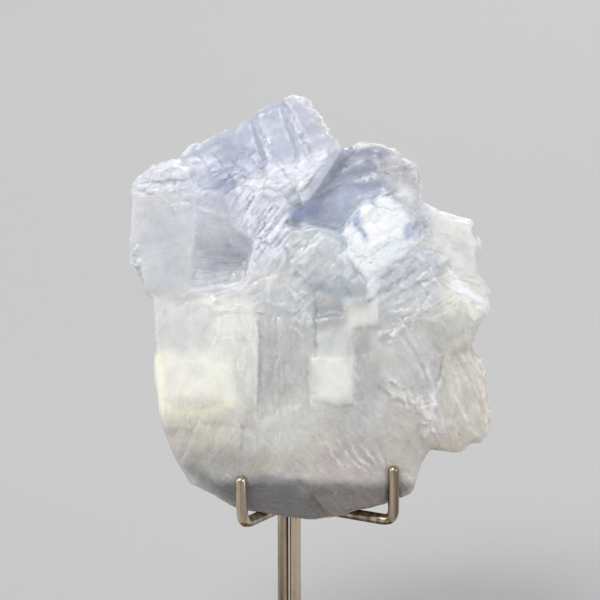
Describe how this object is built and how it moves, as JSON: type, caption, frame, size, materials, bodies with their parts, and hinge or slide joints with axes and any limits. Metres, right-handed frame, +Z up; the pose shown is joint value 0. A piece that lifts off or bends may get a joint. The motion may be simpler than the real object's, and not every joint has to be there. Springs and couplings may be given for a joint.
{
  "type": "mineral specimen on a wire display stand",
  "caption": "Tabletop calcite cluster of fused cleavage blocks, leaning back on a bent-wire prong stand with a round base.",
  "frame": {"origin": "centre of the base disc's underside", "axes": "+Z up along the stem, -Y towards the viewer, +X to the viewer's right"},
  "size_m": [0.0952, 0.084, 0.1586],
  "materials": {
    "calcite": "translucent milky blue-white cleavage faces, cream towards the lower left",
    "stand_metal": "warm polished nickel wire"
  },
  "bodies": {
    "root": {"calcite_cluster": "calcite", "front_fork": "stand_metal", "rear_fork": "stand_metal", "stem_rod_left": "stand_metal", "stem_rod_right": "stand_metal", "base_disc": "stand_metal"}
  },
  "joints": []
}
